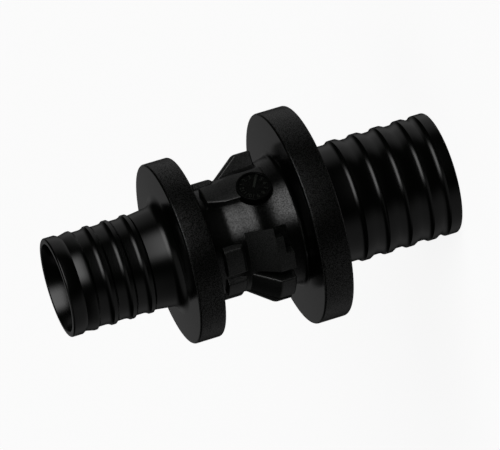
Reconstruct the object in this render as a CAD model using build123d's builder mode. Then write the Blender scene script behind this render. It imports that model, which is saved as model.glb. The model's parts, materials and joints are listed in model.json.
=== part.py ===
from build123d import *
import math
import os

# Reducing coupling for ribbed-spigot plastic pipe, moulded in one piece.
# Millimetres. It stands on the end of its large spigot, with +Z along the bore towards
# the small spigot. The bare windows of the waist face -Y and +Y.

# ---- lengths along the bore, from the large end up ----
large_spigot_length = 22.8
large_collar_thickness = 5.2
waist_length = 16.4
small_collar_thickness = 4.6
small_spigot_length = 19.7

# ---- radii of the spigots and collars ----
large_crest_radius = 10.55
large_barb_height = 0.42
large_collar_radius = 18.4
small_crest_radius = 8.55
small_barb_height = 0.36
small_collar_radius = 15.6

# ---- waist: radius at its large end, on its two soft steps and at its small end, and
# ---- how far above the large collar each slope starts and ends ----
large_waist_radius = 11.2
middle_waist_radius = 10.35
upper_waist_radius = 9.7
small_waist_radius = 9.25
middle_step = (4.5, 7.0)
upper_step = (8.8, 9.9)
small_waist_start = 11.2

# ---- bore ----
small_bore_radius = 6.65
large_bore_radius = 8.45
small_bore_depth = 25.0
large_bore_depth = 28.5
mouth_chamfer = 0.5

# ---- barbs: a slope up from the tip side, a land, then a drop towards the collar ----
barb_count = 4
barb_root_sink = 0.5
large_tip_ring = 2.4
large_neck_length = 4.7
large_barb_pitch = 4.0
large_barb_slope = 0.8
large_barb_land = 1.1
large_barb_drop = 0.6
small_tip_ring = 2.3
small_neck_length = 4.9
small_barb_pitch = 3.3
small_barb_slope = 0.5
small_barb_land = 0.8
small_barb_drop = 0.4
small_lead_slope = 1.5
small_lead_land = 0.4
tip_ring_drop = 0.35

# ---- roundings ----
tip_round = 0.5
collar_edge_round = 0.35
neck_fillet = 2.2
waist_fillet = 0.9

# ---- lugs of the waist, in ten stations of which two opposite ones are bare ----
station_count = 10
bare_stations = (2, 7)
wide_stations = (6, 1)
lug_angle = 26.0
wide_lug_angle = 36.0
lug_root_sink = 1.0
lug_toe_sink = 0.2
lug_edge_round = 0.3
small_lug_gap = 2.5
small_lug_radius = 10.1
small_lug_land = 3.1
small_lug_ramp = 0.9
large_lug_gap = 2.4
large_lug_radius = 12.85
large_lug_land = 3.1
large_lug_ramp = 4.3
pocket_angle = 15.0
pocket_length = 2.4
pocket_depth = 1.3

# ---- date dial: a round flat boss on the edge of one lug ----
dial_angle = -66.0
dial_level = 5.1
dial_radius = 2.9
dial_top_radius = 12.95
dial_recess_radius = 2.4
dial_recess_depth = 0.35
dial_hub_radius = 1.3
dial_hub_step = 0.2

# ---- levels worked out from the lengths ----
large_collar_bottom = large_spigot_length
large_collar_top = large_collar_bottom + large_collar_thickness
small_collar_bottom = large_collar_top + waist_length
small_collar_top = small_collar_bottom + small_collar_thickness
small_end = small_collar_top + small_spigot_length
large_root_radius = large_crest_radius - large_barb_height
small_root_radius = small_crest_radius - small_barb_height
station_angle = 360 / station_count


def meridian(angle):
    """Plane through the axis of the bore at this angle, x outwards and y along the bore."""
    turn = math.radians(angle)
    outwards = (math.cos(turn), math.sin(turn), 0)
    sideways = (math.sin(turn), -math.cos(turn), 0)
    return Plane(origin=(0, 0, 0), x_dir=outwards, z_dir=sideways)


def sector(section_points, start_angle=0.0, sweep_angle=360.0):
    """Add a ring, or a piece of one, whose section is given as radius and height pairs."""
    with BuildSketch(meridian(start_angle)) as section:
        with BuildLine():
            Polyline(*section_points, close=True)
        make_face()
    revolve(section.sketch, axis=Axis.Z, revolution_arc=sweep_angle)


def circles_at(part, radius, height):
    """Whole circles round the bore with this radius at this height."""
    return part.edges().filter_by(GeomType.CIRCLE).filter_by(
        lambda edge: abs(edge.radius - radius) < 1e-4 and abs(edge.arc_center.Z - height) < 1e-4
    )


def barb(shoulder, tip_side, root, crest, slope, land, drop):
    """Add a barb whose drop ends at the shoulder level; tip_side is +1 where the tip is up."""
    foot = root - barb_root_sink
    top = shoulder + tip_side * (drop + land + slope)
    sector([
        (foot, shoulder),
        (root, shoulder),
        (crest, shoulder + tip_side * drop),
        (crest, shoulder + tip_side * (drop + land)),
        (root, top),
        (foot, top),
    ])


def tip_ring(end, tip_side, root, crest, length):
    """Add the plain ring at the tip of a spigot; tip_side is +1 where the tip is up."""
    foot = root - barb_root_sink
    shoulder = end - tip_side * length
    groove = shoulder - tip_side * tip_ring_drop
    sector([(foot, end), (crest, end), (crest, shoulder), (root, groove), (foot, groove)])


def crest_edges(lug, crest_radius):
    """Edges of a lug that reach its crest, apart from the radial ones of its end wall."""
    chosen = []
    for edge in lug.edges():
        start, end = edge @ 0, edge @ 1
        reaches = max(math.hypot(start.X, start.Y), math.hypot(end.X, end.Y)) > crest_radius - 1e-4
        radial = edge.geom_type == GeomType.LINE and abs(start.Z - end.Z) < 1e-6
        if reaches and not radial:
            chosen.append(edge)
    return chosen


def high_lug_section():
    """Section of the lugs beside the large collar, with their ramp towards the small one."""
    bottom = large_collar_top + large_lug_gap
    ramp_start = bottom + large_lug_land
    foot = upper_waist_radius - lug_root_sink
    return [
        (foot, bottom),
        (large_lug_radius, bottom),
        (large_lug_radius, ramp_start),
        (upper_waist_radius - lug_toe_sink, ramp_start + large_lug_ramp),
        (foot, ramp_start + large_lug_ramp),
    ]


# Low lug beside the small collar, with its short ramp towards the large collar.
with BuildPart() as low_lug:
    low_top = small_collar_bottom - small_lug_gap
    low_ramp_start = low_top - small_lug_land
    low_foot = small_waist_radius - lug_root_sink
    sector([
        (low_foot, low_top),
        (small_lug_radius, low_top),
        (small_lug_radius, low_ramp_start),
        (small_waist_radius, low_ramp_start - small_lug_ramp),
        (low_foot, low_ramp_start - small_lug_ramp),
    ], 0, lug_angle)
    fillet(crest_edges(low_lug, small_lug_radius), lug_edge_round)

# High lug beside the large collar.
with BuildPart() as high_lug:
    sector(high_lug_section(), 0, lug_angle)
    fillet(crest_edges(high_lug, large_lug_radius), lug_edge_round)

# The high lug before each bare window is wider and has a pocket in its collar corner.
with BuildPart() as wide_lug:
    sector(high_lug_section(), 0, wide_lug_angle)
    fillet(crest_edges(wide_lug, large_lug_radius), lug_edge_round)
    pocket_floor = large_lug_radius - pocket_depth
    pocket_bottom = large_collar_top + large_lug_gap - lug_root_sink
    pocket_top = large_collar_top + large_lug_gap + pocket_length
    with BuildSketch(meridian(wide_lug_angle - pocket_angle)) as pocket_section:
        with BuildLine():
            Polyline(
                (pocket_floor, pocket_bottom),
                (large_collar_radius, pocket_bottom),
                (large_collar_radius, pocket_top),
                (pocket_floor, pocket_top),
                close=True,
            )
        make_face()
    revolve(pocket_section.sketch, axis=Axis.Z, revolution_arc=2 * pocket_angle, mode=Mode.SUBTRACT)

with BuildPart() as fitting_body:
    # The plain body: spigot roots, collars, the stepped waist and the bore through all.
    sector([
        (large_bore_radius, 0),
        (large_root_radius, 0),
        (large_root_radius, large_collar_bottom),
        (large_collar_radius, large_collar_bottom),
        (large_collar_radius, large_collar_top),
        (large_waist_radius, large_collar_top),
        (middle_waist_radius, large_collar_top + middle_step[0]),
        (middle_waist_radius, large_collar_top + middle_step[1]),
        (upper_waist_radius, large_collar_top + upper_step[0]),
        (upper_waist_radius, large_collar_top + upper_step[1]),
        (small_waist_radius, large_collar_top + small_waist_start),
        (small_waist_radius, small_collar_bottom),
        (small_collar_radius, small_collar_bottom),
        (small_collar_radius, small_collar_top),
        (small_root_radius, small_collar_top),
        (small_root_radius, small_end),
        (small_bore_radius, small_end),
        (small_bore_radius, small_end - small_bore_depth),
        (large_bore_radius, large_bore_depth),
    ])
    fillet(circles_at(fitting_body, large_root_radius, large_collar_bottom), neck_fillet)
    fillet(circles_at(fitting_body, small_root_radius, small_collar_top), neck_fillet)
    fillet(circles_at(fitting_body, large_waist_radius, large_collar_top), waist_fillet)
    fillet(circles_at(fitting_body, small_waist_radius, small_collar_bottom), waist_fillet)
    for height in (large_collar_bottom, large_collar_top):
        fillet(circles_at(fitting_body, large_collar_radius, height), collar_edge_round)
    for height in (small_collar_bottom, small_collar_top):
        fillet(circles_at(fitting_body, small_collar_radius, height), collar_edge_round)

    # Barbs: evenly spaced from the collar to the tip, and the tip ring beyond them.
    for index in range(barb_count):
        large_shoulder = large_collar_bottom - large_neck_length - index * large_barb_pitch
        barb(large_shoulder, -1, large_root_radius, large_crest_radius,
             large_barb_slope, large_barb_land, large_barb_drop)
    for index in range(barb_count - 1):
        small_shoulder = small_collar_top + small_neck_length + index * small_barb_pitch
        barb(small_shoulder, 1, small_root_radius, small_crest_radius,
             small_barb_slope, small_barb_land, small_barb_drop)
    barb(small_shoulder + small_barb_pitch, 1, small_root_radius, small_crest_radius,
         small_lead_slope, small_lead_land, small_barb_drop)
    tip_ring(0, -1, large_root_radius, large_crest_radius, large_tip_ring)
    tip_ring(small_end, 1, small_root_radius, small_crest_radius, small_tip_ring)
    fillet(circles_at(fitting_body, large_crest_radius, 0), tip_round)
    fillet(circles_at(fitting_body, small_crest_radius, small_end), tip_round)
    chamfer(circles_at(fitting_body, large_bore_radius, 0), mouth_chamfer)
    chamfer(circles_at(fitting_body, small_bore_radius, small_end), mouth_chamfer)

    # Lugs of the waist, each turned to the start of its station's lug.
    for station in range(station_count):
        lug_start = (station + 0.5) * station_angle - lug_angle / 2
        if station in bare_stations:
            continue
        with Locations(Location((0, 0, 0), (0, 0, lug_start))):
            add(low_lug.part)
            add(wide_lug.part if station in wide_stations else high_lug.part)

    # Date dial: a flat round boss with a ring-shaped recess round its hub.
    dial_turn = math.radians(dial_angle)
    dial_outwards = (math.cos(dial_turn), math.sin(dial_turn), 0)
    dial_face = Plane(
        origin=(dial_top_radius * dial_outwards[0], dial_top_radius * dial_outwards[1],
                large_collar_top + dial_level),
        x_dir=(-dial_outwards[1], dial_outwards[0], 0),
        z_dir=dial_outwards,
    )
    with BuildSketch(dial_face):
        Circle(dial_radius)
    extrude(amount=middle_waist_radius - lug_root_sink - dial_top_radius)
    with BuildSketch(dial_face):
        Circle(dial_recess_radius)
    extrude(amount=-dial_recess_depth, mode=Mode.SUBTRACT)
    with BuildSketch(dial_face.offset(-dial_hub_step)):
        Circle(dial_hub_radius)
    extrude(amount=dial_hub_step - dial_recess_depth)

fitting_body.part.label = "fitting_body"
os.makedirs("parts", exist_ok=True)
export_step(fitting_body.part, "parts/fitting_body.step")
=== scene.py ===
import json
import math

import bmesh
import bpy
from mathutils import Matrix, Vector


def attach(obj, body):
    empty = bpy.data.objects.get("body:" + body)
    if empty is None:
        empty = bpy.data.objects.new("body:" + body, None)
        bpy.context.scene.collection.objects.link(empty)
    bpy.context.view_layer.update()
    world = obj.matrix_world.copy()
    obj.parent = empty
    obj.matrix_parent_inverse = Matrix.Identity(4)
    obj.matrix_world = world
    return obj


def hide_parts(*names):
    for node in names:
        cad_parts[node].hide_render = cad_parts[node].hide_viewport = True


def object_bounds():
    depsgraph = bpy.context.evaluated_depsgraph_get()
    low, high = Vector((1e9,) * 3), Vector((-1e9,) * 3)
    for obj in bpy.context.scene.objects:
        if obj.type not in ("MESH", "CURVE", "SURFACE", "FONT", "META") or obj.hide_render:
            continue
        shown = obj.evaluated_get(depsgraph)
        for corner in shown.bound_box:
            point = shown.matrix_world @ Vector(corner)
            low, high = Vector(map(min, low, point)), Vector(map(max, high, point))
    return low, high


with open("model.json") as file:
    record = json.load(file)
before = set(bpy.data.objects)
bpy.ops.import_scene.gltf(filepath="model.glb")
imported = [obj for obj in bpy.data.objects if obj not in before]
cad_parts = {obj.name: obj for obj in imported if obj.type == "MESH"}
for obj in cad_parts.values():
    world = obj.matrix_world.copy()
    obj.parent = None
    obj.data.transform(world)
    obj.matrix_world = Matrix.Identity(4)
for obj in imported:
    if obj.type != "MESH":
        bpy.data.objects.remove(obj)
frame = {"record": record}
cad_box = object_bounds()

# The fitting stands on its large end, with +Z along the bore towards the small one.
mounts = {mount["name"]: mount for mount in frame["record"]["mounts"]}

# The camera, in metres: it looks past the small collar's front from the bare window's side and
# is rolled, so that the fitting lies across the picture with its small end at the lower left.
SMALL_COLLAR_FRONT = Vector((0, 0, mounts["small_collar_seat"]["pos_m"][2]))
CAMERA_AZIMUTH = math.radians(-99.0)
CAMERA_ELEVATION = math.radians(11.9)
CAMERA_ROLL = math.radians(106.8)
CAMERA_DISTANCE = 0.7865
CAMERA_AIM_RIGHT = 0.01374
CAMERA_AIM_UP = 0.00494
SENSOR_WIDTH = 36.0
FOCAL_LENGTH = 339.1
NEAREST_SEEN = 0.01

FLOOR_RADIUS = 4.0
FLOOR_CORNERS = 96
FLOOR_TONE = 0.5
FLOOR_GLOW = 0.88

# Up in the picture's own room, where the fitting lay on the rims of its collars.
ROOM_UP = Vector((0.7235, -0.6765, -0.1362)).normalized()

# Light that comes from all sides, beside the soft lights.
ROOM_LIGHT = 0.005

# Soft lights of the room. Each has its middle, how far from it the light is full and how far
# it reaches, all in degrees from the zenith towards the camera and then up the bore, and a strength.
SOFT_LIGHTS = [
    ((-62, -30), (14, 22), (50, 42), 0.25),
    ((150, -30), (32, 22), (72, 42), 0.16),
    ((-124, 12), (12, 8), (32, 22), 0.12),
    ((130, 62), (60, 12), (100, 32), 0.16),
    ((28, 18), (14, 8), (42, 20), 2.7),
    ((40, -90), (180, 10), (200, 26), 0.5),
]

# The moulding, in millimetres: radii from the axis of the bore and levels above the large end.
# Its main sizes are the frame's own; the rest are the finer forms that the solids leave out.
MM = 0.001
LARGE_CREST = mounts["large_spigot"]["dims"]["r_mm"]
SMALL_CREST = mounts["small_spigot"]["dims"]["r_mm"]
LARGE_BORE = mounts["large_bore"]["dims"]["r_mm"]
SMALL_BORE = mounts["small_bore"]["dims"]["r_mm"]
LARGE_COLLAR_BOTTOM = mounts["large_collar_seat"]["pos_m"][2] / MM
SMALL_COLLAR_TOP = mounts["small_collar_seat"]["pos_m"][2] / MM
SMALL_END = cad_box[1][2] / MM
LARGE_COLLAR = min(cad_box[1][0], cad_box[1][1]) / MM
SMALL_COLLAR = 15.6
LARGE_COLLAR_THICKNESS = 5.2
SMALL_COLLAR_THICKNESS = 4.6
LARGE_COLLAR_TOP = LARGE_COLLAR_BOTTOM + LARGE_COLLAR_THICKNESS
SMALL_COLLAR_BOTTOM = SMALL_COLLAR_TOP - SMALL_COLLAR_THICKNESS
LARGE_BARB_HEIGHT = 0.42
SMALL_BARB_HEIGHT = 0.36
LARGE_ROOT = LARGE_CREST - LARGE_BARB_HEIGHT
SMALL_ROOT = SMALL_CREST - SMALL_BARB_HEIGHT

COLLAR_EDGE_ROUND = 0.35
NECK_ROUND = 2.0
WAIST_ROUND = 0.9
TIP_ROUND = 0.3
LIP_ROUND = 0.2
MOUTH_DEPTH = 4.5
LARGE_LIP = 1.15
SMALL_LIP = 0.95
LARGE_MOUTH = LARGE_CREST - LARGE_LIP
SMALL_MOUTH = SMALL_CREST - SMALL_LIP
LARGE_TAPER_START = 20.5
SMALL_TAPER_DEPTH = 17.5
SMALL_TAPER_END = SMALL_END - SMALL_TAPER_DEPTH

# Barbs: each has a short slope (its fall), a flat crest (its land) and a hollow slope (its cove).
BARB_COUNT = 4
LARGE_TIP_RING = 2.0
LARGE_NECK_LENGTH = 4.7
LARGE_BARB_PITCH = 4.0
LARGE_BARB_COVE = 1.0
LARGE_BARB_LAND = 1.1
LARGE_BARB_FALL = 0.8
SMALL_TIP_RING = 2.3
SMALL_TIP_SLOPE = 0.35
SMALL_NECK = 8.8
SMALL_NECK_LENGTH = 4.9
SMALL_BARB_PITCH = 3.3
SMALL_BARB_COVE = 0.95
SMALL_BARB_LAND = 0.6
SMALL_BARB_FALL = 0.4
SMALL_LEAD_LAND = 0.4
SMALL_LEAD_SLOPE = 1.5

# The waist's outline: level above the large collar, radius, and how the radius changes there.
WAIST_KNOTS = [
    (0.0, 11.3, -0.22),
    (5.2, 10.35, 0.0),
    (6.2, 10.35, 0.0),
    (9.3, 9.82, -0.16),
    (12.2, 9.25, 0.0),
]
SMALL_WAIST = WAIST_KNOTS[-1][1]
WAIST_ROUND_MARGIN = 0.2

# Lugs of the waist: the angle where each starts and how far it sweeps, in degrees. Those of
# the sides are mirrored to the other side, and those in the middle have no twin.
MIDDLE_LUG = (-16.0, 32.0)
SIDE_LOW_LUGS = [(-139.0, 26.0), (-171.0, 20.0)]
SIDE_HIGH_LUG = (-175.0, 26.0)
CORNER_LUG = (-139.0, 36.0)
DIAL_LUG = (-60.0, 22.0)
DIAL_LUG_WIDENING = 9.0
# How much further a lug's ends reach at its foot than at its top, in degrees.
LOW_LUG_DRAFT = 10.0
HIGH_LUG_DRAFT = 4.0
LUG_FOOT = 8.3
LUG_EDGE_BEVEL = 0.28
LOW_LUG = 10.1
LOW_LUG_TOP = SMALL_COLLAR_BOTTOM - 2.5
LOW_LUG_RAMP_START = LOW_LUG_TOP - 3.1
LOW_LUG_TOE = LOW_LUG_RAMP_START - 0.9
HIGH_LUG = 12.85
HIGH_LUG_BOTTOM = LARGE_COLLAR_TOP + 2.8
HIGH_LUG_RAMP_START = HIGH_LUG_BOTTOM + 2.7
HIGH_LUG_TOE = HIGH_LUG_RAMP_START + 4.3
HIGH_LUG_TOE_RADIUS = 9.65
DIAL_LUG_RADIUS = 11.05
DIAL_LUG_LOW_RADIUS = 10.35
DIAL_LUG_RAMP_START = HIGH_LUG_BOTTOM + 5.6

# The corner lug's pocket is a groove bent round a finger, with one arm along the window and
# one along the collar. An arm's sweep, from the window's edge, is in degrees.
WINDOW_ARM_SWEEP = 7.5
COLLAR_ARM_WIDTH = 1.3
COLLAR_ARM_SWEEP = 20.0
WINDOW_ARM_TOP = HIGH_LUG_BOTTOM + 2.6
COLLAR_ARM_TOP = HIGH_LUG_BOTTOM + COLLAR_ARM_WIDTH
POCKET_CUT = 2.1
# Radius of the pocket's floor blocks, whose low-gloss plastic paints shade into the pocket.
POCKET_SHADE_FLOOR = HIGH_LUG - 1.7
# The pocket's walls lean by this much, so that their top and foot are separate points.
POCKET_WALL_LEAN = 0.02

# The date dial: a round boss with a sunk face that carries raised figures. Its place is an
# angle in degrees, a level and the radius of its top.
DIAL_ANGLE = -62.4
DIAL_LEVEL = LARGE_COLLAR_TOP + 5.6
DIAL_TOP = 11.5
DIAL_RADIUS = 3.0
DIAL_DEPTH = 2.1
DIAL_FACE = 2.65
DIAL_FACE_DEPTH = 0.35
DIAL_EDGE_ROUND = 0.1
FIGURE_COUNT = 12
FIGURE_RING = 2.0
FIGURE_SIZE = 1.0
FIGURE_HEIGHT = 0.15

# The pointer is a bar past the dial's middle. It is turned by so many degrees on the dial's face.
POINTER_WIDTH = 0.4
POINTER_REACH = (-2.5, 0.2)
POINTER_TURN = 149.0

# How fine the mesh is. Steps round the axis and round an arc are in degrees.
TURN_STEP = 1.5
ARC_STEP = 9.0
ARC_LEAST_STEPS = 3
COVE_STEPS = 5
WAIST_STEPS = 8
BEVEL_SEGMENTS = 3
WELD_DISTANCE_METRES = 1e-7

# Edges that turn by more degrees than this stay sharp, or get the bevel.
SHARP_ANGLE = 32.0

# How far in from a collar's radius its rim's finish reaches.
RIM_REACH = 0.25

# The plastic: its colour, and the grain of a spark-eroded mould. The noise's values between
# the last two go from a hollow's gloss to a top's.
BLACK = (0.0011, 0.0014, 0.001)
GRAIN_SIZE = 0.17
GRAIN_DETAIL = 1.5
GRAIN_HOLLOW = 0.4
GRAIN_TOP = 0.6


def camera_axes():
    """Right, up and back of the rolled camera."""
    back = Vector((
        math.cos(CAMERA_ELEVATION) * math.cos(CAMERA_AZIMUTH),
        math.cos(CAMERA_ELEVATION) * math.sin(CAMERA_AZIMUTH),
        math.sin(CAMERA_ELEVATION),
    ))
    level_right = Vector((0, 0, 1)).cross(back).normalized()
    level_up = back.cross(level_right)
    up = math.cos(CAMERA_ROLL) * level_up + math.sin(CAMERA_ROLL) * level_right
    return up.cross(back), up, back


def add_camera():
    right, up, back = camera_axes()
    place = SMALL_COLLAR_FRONT + CAMERA_DISTANCE * back
    aim = SMALL_COLLAR_FRONT + CAMERA_AIM_RIGHT * right + CAMERA_AIM_UP * up
    back = (place - aim).normalized()
    right = up.cross(back).normalized()
    up = back.cross(right)
    data = bpy.data.cameras.new("camera")
    data.lens = FOCAL_LENGTH
    data.sensor_width = SENSOR_WIDTH
    data.clip_start = NEAREST_SEEN
    camera = bpy.data.objects.new("camera", data)
    camera.matrix_world = Matrix.Translation(place) @ Matrix((right, up, back)).transposed().to_4x4()
    bpy.context.collection.objects.link(camera)
    bpy.context.scene.camera = camera


def add_floor():
    """White to the camera and clear to glossy rays, so that the plastic mirrors the room alone."""
    bpy.ops.mesh.primitive_circle_add(vertices=FLOOR_CORNERS, radius=FLOOR_RADIUS, fill_type="NGON")
    floor = bpy.context.object
    floor.name = "floor"
    material = bpy.data.materials.new("pale_floor")
    material.use_nodes = True
    nodes, links = material.node_tree.nodes, material.node_tree.links
    nodes.clear()
    output = nodes.new("ShaderNodeOutputMaterial")
    pale = nodes.new("ShaderNodeAddShader")
    diffuse = nodes.new("ShaderNodeBsdfDiffuse")
    diffuse.inputs["Color"].default_value = (FLOOR_TONE, FLOOR_TONE, FLOOR_TONE, 1)
    glow = nodes.new("ShaderNodeEmission")
    glow.inputs["Color"].default_value = (1, 1, 1, 1)
    path = nodes.new("ShaderNodeLightPath")
    strength = nodes.new("ShaderNodeMath")
    strength.operation = "MULTIPLY"
    strength.inputs[1].default_value = FLOOR_GLOW
    links.new(path.outputs["Is Camera Ray"], strength.inputs[0])
    links.new(strength.outputs[0], glow.inputs["Strength"])
    links.new(diffuse.outputs[0], pale.inputs[0])
    links.new(glow.outputs[0], pale.inputs[1])
    clear = nodes.new("ShaderNodeBsdfTransparent")
    choice = nodes.new("ShaderNodeMixShader")
    links.new(path.outputs["Is Glossy Ray"], choice.inputs["Fac"])
    links.new(pale.outputs[0], choice.inputs[1])
    links.new(clear.outputs[0], choice.inputs[2])
    links.new(choice.outputs[0], output.inputs["Surface"])
    floor.data.materials.append(material)


def room_axes():
    """The room's zenith and front, both square to the bore, with the front towards the camera."""
    front = Vector((0, 0, 1)).cross(ROOM_UP).normalized()
    if front.dot(camera_axes()[2]) < 0:
        front = -front
    zenith = front.cross(Vector((0, 0, 1))).normalized()
    if zenith.dot(ROOM_UP) < 0:
        zenith = -zenith
    return zenith, front


def math_node(tree, operation, *values):
    """Math node whose inputs are sockets or numbers; returns its output."""
    node = tree.nodes.new("ShaderNodeMath")
    node.operation = operation
    for socket, value in zip(node.inputs, values):
        if isinstance(value, (int, float)):
            socket.default_value = value
        else:
            tree.links.new(value, socket)
    return node.outputs["Value"]


def dot_node(tree, vector, direction):
    """Output with how far a vector goes along a direction."""
    node = tree.nodes.new("ShaderNodeVectorMath")
    node.operation = "DOT_PRODUCT"
    tree.links.new(vector, node.inputs[0])
    node.inputs[1].default_value = direction
    return node.outputs["Value"]


def fade_node(tree, away, near, far):
    """Output that is 1 up to near and falls smoothly to 0 at far."""
    node = tree.nodes.new("ShaderNodeMapRange")
    node.interpolation_type = "SMOOTHSTEP"
    tree.links.new(away, node.inputs["Value"])
    node.inputs["From Min"].default_value = near
    node.inputs["From Max"].default_value = far
    node.inputs["To Min"].default_value = 1.0
    node.inputs["To Max"].default_value = 0.0
    return node.outputs["Result"]


def add_world():
    """A dark room with its soft lights, which the camera itself sees as plain white."""
    world = bpy.data.worlds.new("studio")
    bpy.context.scene.world = world
    world.use_nodes = True
    tree = world.node_tree
    tree.nodes.clear()
    output = tree.nodes.new("ShaderNodeOutputWorld")
    background = tree.nodes.new("ShaderNodeBackground")
    direction = tree.nodes.new("ShaderNodeTexCoord").outputs["Generated"]
    zenith, front = room_axes()
    turn = math_node(tree, "ARCTAN2", dot_node(tree, direction, front), dot_node(tree, direction, zenith))
    rise = math_node(tree, "ARCSINE", dot_node(tree, direction, (0, 0, 1)))
    total = ROOM_LIGHT
    for middle, full, reach, strength in SOFT_LIGHTS:
        light = strength
        for angle, centre, near, far in zip((turn, rise), middle, full, reach):
            offset = math_node(tree, "SUBTRACT", angle, math.radians(centre))
            away = math_node(tree, "ABSOLUTE", math_node(tree, "WRAP", offset, math.pi, -math.pi))
            fade = fade_node(tree, away, math.radians(near), math.radians(far))
            light = math_node(tree, "MULTIPLY", fade, light)
        total = math_node(tree, "ADD", light, total)
    path = tree.nodes.new("ShaderNodeLightPath")
    seen = tree.nodes.new("ShaderNodeMix")
    tree.links.new(path.outputs["Is Camera Ray"], seen.inputs["Factor"])
    tree.links.new(total, seen.inputs["A"])
    seen.inputs["B"].default_value = 1.0
    background.inputs["Color"].default_value = (1, 1, 1, 1)
    tree.links.new(seen.outputs["Result"], background.inputs["Strength"])
    tree.links.new(background.outputs[0], output.inputs["Surface"])


def rounded(points):
    """Closed outline through (radius, level) points; a third number rounds that corner."""
    outline = []
    for index, (radius, level, *rounding) in enumerate(points):
        corner = Vector((radius, level))
        if not rounding:
            outline.append(corner)
            continue
        before = (Vector(points[index - 1][:2]) - corner).normalized()
        after = (Vector(points[(index + 1) % len(points)][:2]) - corner).normalized()
        half = before.angle(after) / 2
        centre = corner + (before + after).normalized() * rounding[0] / math.sin(half)
        first = corner + before * rounding[0] / math.tan(half) - centre
        last = corner + after * rounding[0] / math.tan(half) - centre
        bend = first.angle(last)
        steps = max(ARC_LEAST_STEPS, math.ceil(math.degrees(bend) / ARC_STEP))
        for step in range(steps + 1):
            share = step / steps
            outline.append(centre + (first * math.sin((1 - share) * bend)
                                     + last * math.sin(share * bend)) / math.sin(bend))
    return outline


def cove(root, crest, top, length):
    """Arc that leaves the crest at top minus length and runs smoothly into the root at top."""
    height = crest - root
    radius = (height ** 2 + length ** 2) / (2 * height)
    bend = math.asin(length / radius)
    bends = [bend * (step / COVE_STEPS) for step in reversed(range(COVE_STEPS + 1))]
    return [(root + radius * (1 - math.cos(turn)), top - radius * math.sin(turn)) for turn in bends]


def waist_outline():
    """Smooth curve through the waist's knots, from the large collar up."""
    outline = []
    for (low, low_radius, low_slope), (high, high_radius, high_slope) in zip(WAIST_KNOTS, WAIST_KNOTS[1:]):
        span = high - low
        for step in range(1, WAIST_STEPS + 1):
            t = step / WAIST_STEPS
            radius = (
                (2 * t ** 3 - 3 * t ** 2 + 1) * low_radius
                + (t ** 3 - 2 * t ** 2 + t) * span * low_slope
                + (3 * t ** 2 - 2 * t ** 3) * high_radius
                + (t ** 3 - t ** 2) * span * high_slope
            )
            outline.append((radius, LARGE_COLLAR_TOP + low + span * t))
    return outline


def body_outline():
    """The whole section: up the outside of the large spigot, and back down through the bore."""
    outline = [(LARGE_CREST, 0, TIP_ROUND)]
    outline += cove(LARGE_ROOT, LARGE_CREST, LARGE_TIP_RING + LARGE_BARB_COVE, LARGE_BARB_COVE)
    for index in reversed(range(BARB_COUNT)):
        top = LARGE_COLLAR_BOTTOM - LARGE_NECK_LENGTH - index * LARGE_BARB_PITCH
        crest_bottom = top - LARGE_BARB_COVE - LARGE_BARB_LAND
        outline += [(LARGE_ROOT, crest_bottom - LARGE_BARB_FALL), (LARGE_CREST, crest_bottom)]
        outline += cove(LARGE_ROOT, LARGE_CREST, top, LARGE_BARB_COVE)
    outline += [
        (LARGE_ROOT, LARGE_COLLAR_BOTTOM, NECK_ROUND),
        (LARGE_COLLAR, LARGE_COLLAR_BOTTOM, COLLAR_EDGE_ROUND),
        (LARGE_COLLAR, LARGE_COLLAR_TOP, COLLAR_EDGE_ROUND),
        (WAIST_KNOTS[0][1], LARGE_COLLAR_TOP, WAIST_ROUND),
    ]
    rounding_top = LARGE_COLLAR_TOP + WAIST_ROUND + WAIST_ROUND_MARGIN
    outline += [point for point in waist_outline() if point[1] > rounding_top]
    outline += [
        (SMALL_WAIST, SMALL_COLLAR_BOTTOM, WAIST_ROUND),
        (SMALL_COLLAR, SMALL_COLLAR_BOTTOM, COLLAR_EDGE_ROUND),
        (SMALL_COLLAR, SMALL_COLLAR_TOP, COLLAR_EDGE_ROUND),
        (SMALL_NECK, SMALL_COLLAR_TOP, NECK_ROUND),
    ]
    for index in range(BARB_COUNT - 1):
        foot = SMALL_COLLAR_TOP + SMALL_NECK_LENGTH + index * SMALL_BARB_PITCH
        crest_bottom = foot + SMALL_BARB_FALL
        crest_top = crest_bottom + SMALL_BARB_LAND
        outline += [(SMALL_ROOT, foot), (SMALL_CREST, crest_bottom)]
        outline += cove(SMALL_ROOT, SMALL_CREST, crest_top + SMALL_BARB_COVE, SMALL_BARB_COVE)
    lead_foot = SMALL_COLLAR_TOP + SMALL_NECK_LENGTH + (BARB_COUNT - 1) * SMALL_BARB_PITCH
    lead_top = lead_foot + SMALL_BARB_FALL + SMALL_LEAD_LAND
    outline += [
        (SMALL_ROOT, lead_foot),
        (SMALL_CREST, lead_foot + SMALL_BARB_FALL),
        (SMALL_CREST, lead_top),
        (SMALL_ROOT, lead_top + SMALL_LEAD_SLOPE),
        (SMALL_CREST, SMALL_END - SMALL_TIP_RING + SMALL_TIP_SLOPE),
        (SMALL_CREST, SMALL_END, TIP_ROUND),
        (SMALL_MOUTH, SMALL_END, LIP_ROUND),
        (SMALL_BORE, SMALL_END - MOUTH_DEPTH),
        (SMALL_BORE, SMALL_TAPER_END),
        (LARGE_BORE, LARGE_TAPER_START),
        (LARGE_BORE, MOUTH_DEPTH),
        (LARGE_MOUTH, 0, LIP_ROUND),
    ]
    return outline


def finish_piece(piece):
    """Fix a piece to the part's one body."""
    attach(piece, "root")


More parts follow.
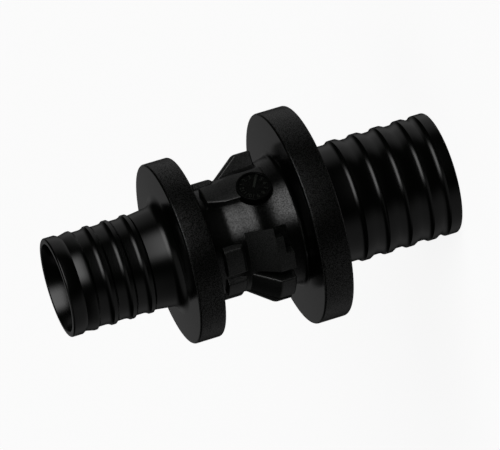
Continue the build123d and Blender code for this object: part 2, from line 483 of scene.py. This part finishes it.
def mesh_piece(name, vertices, faces, materials, face_materials=None):
    """A closed, smooth-shaded piece of the moulding whose corners stay sharp."""
    mesh = bpy.data.meshes.new(name)
    mesh.from_pydata(vertices, [], faces)
    for material in materials:
        mesh.materials.append(material)
    if face_materials:
        mesh.polygons.foreach_set("material_index", face_materials)
    shape = bmesh.new()
    shape.from_mesh(mesh)
    bmesh.ops.remove_doubles(shape, verts=shape.verts, dist=WELD_DISTANCE_METRES)
    bmesh.ops.recalc_face_normals(shape, faces=shape.faces)
    shape.to_mesh(mesh)
    shape.free()
    mesh.polygons.foreach_set("use_smooth", [True] * len(mesh.polygons))
    mesh.set_sharp_from_angle(angle=math.radians(SHARP_ANGLE))
    piece = bpy.data.objects.new(name, mesh)
    bpy.context.collection.objects.link(piece)
    return piece


def spin(name, outline, materials, start=0.0, sweep=360.0, place=Matrix(), finish_of=None, warp=None):
    """Turn a closed outline round the axis, whole or in part, with end faces where it stops.

    Where warp is given, it moves each point: it takes the share of the sweep, the radius and
    the level, and returns degrees of turn to add and the new radius.
    """
    steps = math.ceil(sweep / TURN_STEP)
    whole = sweep == 360.0
    shares = [step / steps for step in range(steps + (not whole))]
    vertices = []
    for share in shares:
        for radius, level in outline:
            extra, radius = warp(share, radius, level) if warp else (0, radius)
            turn = math.radians(start + sweep * share + extra)
            corner = Vector((radius * math.cos(turn), radius * math.sin(turn), level))
            vertices.append(place @ (corner * MM))
    count = len(outline)
    faces = []
    finishes = []
    for step in range(steps):
        here = step * count
        there = (step + 1) % len(shares) * count
        for index in range(count):
            following = (index + 1) % count
            faces.append((here + index, there + index, there + following, here + following))
            finishes.append(finish_of(outline[index], outline[following]) if finish_of else 0)
    if not whole:
        faces += [tuple(range(count)), tuple(range(steps * count, (steps + 1) * count))]
        finishes += [0, 0]
    return mesh_piece(name, vertices, faces, materials, finishes)


def add_bevel(piece, width):
    """Round the sharp edges of a piece."""
    bevel = piece.modifiers.new("edges", "BEVEL")
    bevel.width = width * MM
    bevel.segments = BEVEL_SEGMENTS
    bevel.limit_method = "ANGLE"
    bevel.angle_limit = math.radians(SHARP_ANGLE)
    bevel.harden_normals = True


def body_finish(first, last):
    """Which finish a band of the body has: 2 on the waist, 1 on the collar rims, 0 elsewhere."""
    middle_radius = (first[0] + last[0]) / 2
    middle_level = (first[1] + last[1]) / 2
    if middle_radius > LUG_FOOT and LARGE_COLLAR_TOP < middle_level < SMALL_COLLAR_BOTTOM:
        return 2
    on_large = LARGE_COLLAR_BOTTOM < middle_level < LARGE_COLLAR_TOP
    rim = LARGE_COLLAR if on_large else SMALL_COLLAR
    return int(middle_radius > rim - RIM_REACH)


def add_body(materials):
    body = spin("fitting_body_fine", rounded(body_outline()), materials, finish_of=body_finish)
    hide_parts("fitting_body")
    finish_piece(body)


def drafted(outer, draft=HIGH_LUG_DRAFT):
    """Warp for a lug whose end faces lean: it is wider at its foot than at its outer radius."""
    def warp(share, radius, level):
        return draft * (2 * share - 1) * (outer - radius) / (outer - LUG_FOOT), radius
    return warp


def pocket_warp(share, radius, level):
    """The corner lug is cut down in both arms of its pocket."""
    extra, radius = drafted(HIGH_LUG)(share, radius, level)
    from_window = (1 - share) * CORNER_LUG[1]
    in_window_arm = from_window < WINDOW_ARM_SWEEP and level < WINDOW_ARM_TOP
    in_collar_arm = from_window < COLLAR_ARM_SWEEP and level < COLLAR_ARM_TOP
    if radius > LUG_FOOT and (in_window_arm or in_collar_arm):
        radius -= POCKET_CUT
    return extra, radius


def dial_lug_warp(share, radius, level):
    """The lug under the dial starts as wide as a low lug and gets wider towards the window."""
    extra, radius = drafted(DIAL_LUG_RADIUS)(share, radius, level)
    widening = (LOW_LUG_TOP - level) / (LOW_LUG_TOP - DIAL_LUG_RAMP_START)
    return extra - (1 - share) * DIAL_LUG_WIDENING * min(1, widening), radius


def mirrored(section, start, sweep, warp):
    """A lug's twin on the other side of the middle plane."""
    def twin_warp(share, radius, level):
        extra, radius = warp(1 - share, radius, level)
        return -extra, radius
    return section, -start - sweep, sweep, twin_warp


def pocket_floors():
    """Section, start and sweep of the low-gloss floor block in each arm of the pocket and of its twin,
    which paints shade into the pocket.
    """
    window = CORNER_LUG[0] + CORNER_LUG[1]
    for sweep, top in ((WINDOW_ARM_SWEEP, WINDOW_ARM_TOP), (COLLAR_ARM_SWEEP, COLLAR_ARM_TOP)):
        section = [
            (LUG_FOOT, HIGH_LUG_BOTTOM),
            (POCKET_SHADE_FLOOR, HIGH_LUG_BOTTOM),
            (POCKET_SHADE_FLOOR, top),
            (LUG_FOOT, top),
        ]
        yield section, window - sweep, sweep
        yield section, -window, sweep


def add_lugs(material, painted_pocket_shade_material):
    """Every lug as a section (radius, level) that is spun over its sweep, and the pocket's floors,
    low-gloss blocks of painted shade.
    """
    low = [
        (LUG_FOOT, LOW_LUG_TOP),
        (LOW_LUG, LOW_LUG_TOP),
        (LOW_LUG, LOW_LUG_RAMP_START),
        (SMALL_WAIST, LOW_LUG_TOE),
        (LUG_FOOT, LOW_LUG_TOE),
    ]
    high = [
        (LUG_FOOT, HIGH_LUG_BOTTOM),
        (HIGH_LUG, HIGH_LUG_BOTTOM),
        (HIGH_LUG, HIGH_LUG_RAMP_START),
        (HIGH_LUG_TOE_RADIUS, HIGH_LUG_TOE),
        (LUG_FOOT, HIGH_LUG_TOE),
    ]
    pocket_walls = [
        (HIGH_LUG, top - lean)
        for top in (COLLAR_ARM_TOP, WINDOW_ARM_TOP)
        for lean in (POCKET_WALL_LEAN, 0)
    ]
    corner = high[:2] + pocket_walls + high[2:]
    dialled = [
        (LUG_FOOT, HIGH_LUG_BOTTOM),
        (DIAL_LUG_RADIUS, HIGH_LUG_BOTTOM),
        (DIAL_LUG_RADIUS, DIAL_LUG_RAMP_START),
        (DIAL_LUG_LOW_RADIUS, LOW_LUG_RAMP_START),
        (DIAL_LUG_LOW_RADIUS, LOW_LUG_TOP),
        (LUG_FOOT, LOW_LUG_TOP),
    ]
    side = [(low, *spread, drafted(LOW_LUG, LOW_LUG_DRAFT)) for spread in SIDE_LOW_LUGS]
    side += [
        (high, *SIDE_HIGH_LUG, drafted(HIGH_LUG)),
        (corner, *CORNER_LUG, pocket_warp),
        (dialled, *DIAL_LUG, dial_lug_warp),
    ]
    lugs = [(low, *MIDDLE_LUG, drafted(LOW_LUG)), (high, *MIDDLE_LUG, drafted(HIGH_LUG))] + side
    lugs += [mirrored(*lug) for lug in side]
    for number, (section, start, sweep, warp) in enumerate(lugs, 1):
        lug = spin(f"lug_{number:02d}", section, [material], start, sweep, warp=warp)
        add_bevel(lug, LUG_EDGE_BEVEL)
        finish_piece(lug)
    # Low-gloss floor blocks that paint shade into both arms of the corner lug's pocket.
    for number, (section, start, sweep) in enumerate(pocket_floors(), 1):
        finish_piece(spin(f"pocket_{number}", section, [painted_pocket_shade_material], start, sweep))


def dial_place():
    """Frame of the dial's top: x round the body, y along the bore and z outwards."""
    turn = math.radians(DIAL_ANGLE)
    outwards = Vector((math.cos(turn), math.sin(turn), 0))
    sideways = Vector((-outwards.y, outwards.x, 0))
    centre = (outwards * DIAL_TOP + Vector((0, 0, DIAL_LEVEL))) * MM
    axes = Matrix((sideways, Vector((0, 0, 1)), outwards)).transposed().to_4x4()
    return Matrix.Translation(centre) @ axes


def add_figure(number, floor, material):
    """One raised number of the dial, with its foot towards the dial's middle."""
    turn = math.radians(90 - 360 / FIGURE_COUNT * number)
    text = bpy.data.curves.new(f"figure_{number}", "FONT")
    text.body = str(number)
    text.size = FIGURE_SIZE * MM
    text.extrude = FIGURE_HEIGHT * MM
    text.align_x = "CENTER"
    text.align_y = "CENTER"
    text.materials.append(material)
    spot = Vector((FIGURE_RING * MM * math.cos(turn), FIGURE_RING * MM * math.sin(turn), 0))
    figure = bpy.data.objects.new(f"figure_{number}", text)
    bpy.context.collection.objects.link(figure)
    upright = Matrix.Rotation(turn - math.pi / 2, 4, "Z")
    figure.matrix_world = floor @ Matrix.Translation(spot) @ upright
    finish_piece(figure)


def add_pointer(floor, material):
    """The raised bar from the dial's middle towards its edge."""
    half_width = POINTER_WIDTH / 2
    tip, tail = POINTER_REACH
    footprint = [(tip, -half_width), (tail, -half_width), (tail, half_width), (tip, half_width)]
    turned = floor @ Matrix.Rotation(math.radians(POINTER_TURN), 4, "Z")
    vertices = [
        turned @ (Vector((x, y, z)) * MM)
        for z in (-FIGURE_HEIGHT, FIGURE_HEIGHT)
        for x, y in footprint
    ]
    faces = [(3, 2, 1, 0), (4, 5, 6, 7), (0, 1, 5, 4), (1, 2, 6, 5), (2, 3, 7, 6), (3, 0, 4, 7)]
    finish_piece(mesh_piece("pointer", vertices, faces, [material]))


def add_dial(material, figure_highlight_material):
    place = dial_place()
    dial = spin("dial", rounded([
        (0, -DIAL_DEPTH),
        (DIAL_RADIUS, -DIAL_DEPTH),
        (DIAL_RADIUS, 0, DIAL_EDGE_ROUND),
        (DIAL_FACE, 0, DIAL_EDGE_ROUND),
        (DIAL_FACE, -DIAL_FACE_DEPTH),
        (0, -DIAL_FACE_DEPTH),
    ]), [material], place=place)
    finish_piece(dial)
    floor = place @ Matrix.Translation((0, 0, -DIAL_FACE_DEPTH * MM))
    # The figures and pointer use the lighter black, which paints a highlight on them.
    for number in range(1, FIGURE_COUNT + 1):
        add_figure(number, floor, figure_highlight_material)
    add_pointer(floor, figure_highlight_material)


def plastic(name, roughness, gloss, grain=0.0, tone=1.0):
    """Black plastic.

    Gloss is the specular level in the hollows and on the tops of the grain, grain is its depth
    in millimetres, and tone makes the colour lighter.
    """
    material = bpy.data.materials.new(name)
    material.use_nodes = True
    tree = material.node_tree
    shader = tree.nodes["Principled BSDF"]
    shader.inputs["Base Color"].default_value = (*(tone * channel for channel in BLACK), 1)
    shader.inputs["Specular IOR Level"].default_value = gloss[1]
    shader.inputs["Roughness"].default_value = roughness
    if grain:
        place = tree.nodes.new("ShaderNodeTexCoord")
        noise = tree.nodes.new("ShaderNodeTexNoise")
        noise.inputs["Scale"].default_value = 1 / (GRAIN_SIZE * MM)
        noise.inputs["Detail"].default_value = GRAIN_DETAIL
        tree.links.new(place.outputs["Object"], noise.inputs["Vector"])
        bump = tree.nodes.new("ShaderNodeBump")
        bump.inputs["Strength"].default_value = 1.0
        bump.inputs["Distance"].default_value = grain * MM
        tree.links.new(noise.outputs["Fac"], bump.inputs["Height"])
        tree.links.new(bump.outputs["Normal"], shader.inputs["Normal"])
        level = tree.nodes.new("ShaderNodeMapRange")
        level.inputs["From Min"].default_value = GRAIN_HOLLOW
        level.inputs["From Max"].default_value = GRAIN_TOP
        level.inputs["To Min"].default_value = gloss[0]
        level.inputs["To Max"].default_value = gloss[1]
        tree.links.new(noise.outputs["Fac"], level.inputs["Value"])
        tree.links.new(level.outputs["Result"], shader.inputs["Specular IOR Level"])
    return material


add_camera()
add_floor()
add_world()
smooth_plastic = plastic("smooth_plastic", 0.22, gloss=(0.5, 0.5))
rim_plastic = plastic("rim_plastic", 0.3, gloss=(0.1, 0.7), grain=0.03)
waist_plastic = plastic("waist_plastic", 0.22, gloss=(0.2, 0.6), grain=0.01)
lug_plastic = plastic("lug_plastic", 0.42, gloss=(0.4, 0.8), grain=0.015, tone=1.5)
# Low-gloss plastic of the dial's face, also used for the pocket's floor blocks, where it is painted shade.
dial_and_pocket_shade_plastic = plastic("dial_and_pocket_shade_plastic", 0.45, gloss=(0.02, 0.2), grain=0.02)
# The raised figures and pointer get a lighter copy of the black: painted highlight, as if their edges
# catch the light.
figure_highlight_plastic = plastic("figure_highlight_plastic", 0.4, gloss=(0.5, 0.5), tone=8.0)
add_body([smooth_plastic, rim_plastic, waist_plastic])
add_lugs(lug_plastic, dial_and_pocket_shade_plastic)
add_dial(dial_and_pocket_shade_plastic, figure_highlight_plastic)

bpy.context.scene.view_settings.view_transform = "Standard"
